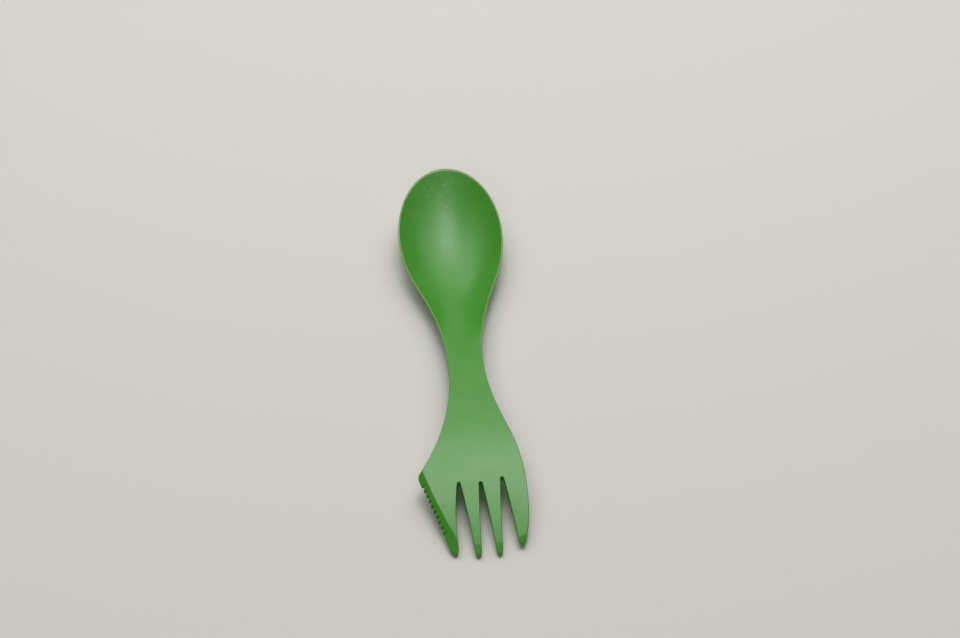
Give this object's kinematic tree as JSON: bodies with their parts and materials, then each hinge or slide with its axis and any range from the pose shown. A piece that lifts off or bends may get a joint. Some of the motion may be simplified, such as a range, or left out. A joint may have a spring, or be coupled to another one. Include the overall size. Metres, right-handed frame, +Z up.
{
  "type": "spork",
  "caption": "Green moulded plastic spork: spoon bowl at one end, fork at the other, with one outer tine shaped as a serrated knife.",
  "frame": {"origin": "on the table, under the middle of the outline's width and length", "axes": "+Y along the handle to the tip of the spoon, -X to the side of the knife edge, +Z up from the table, with the hollow of the bowl upwards"},
  "size_m": [0.0384, 0.168, 0.0167],
  "materials": {
    "moulded_plastic": "satin, with a very fine moulded grain"
  },
  "bodies": {
    "root": {"spoon_bowl": "moulded_plastic", "handle": "moulded_plastic", "fork_palm": "moulded_plastic", "knife_tine": "moulded_plastic", "serrated_edge": "moulded_plastic", "inner_tine_left": "moulded_plastic", "inner_tine_right": "moulded_plastic", "outer_tine": "moulded_plastic"}
  },
  "joints": []
}
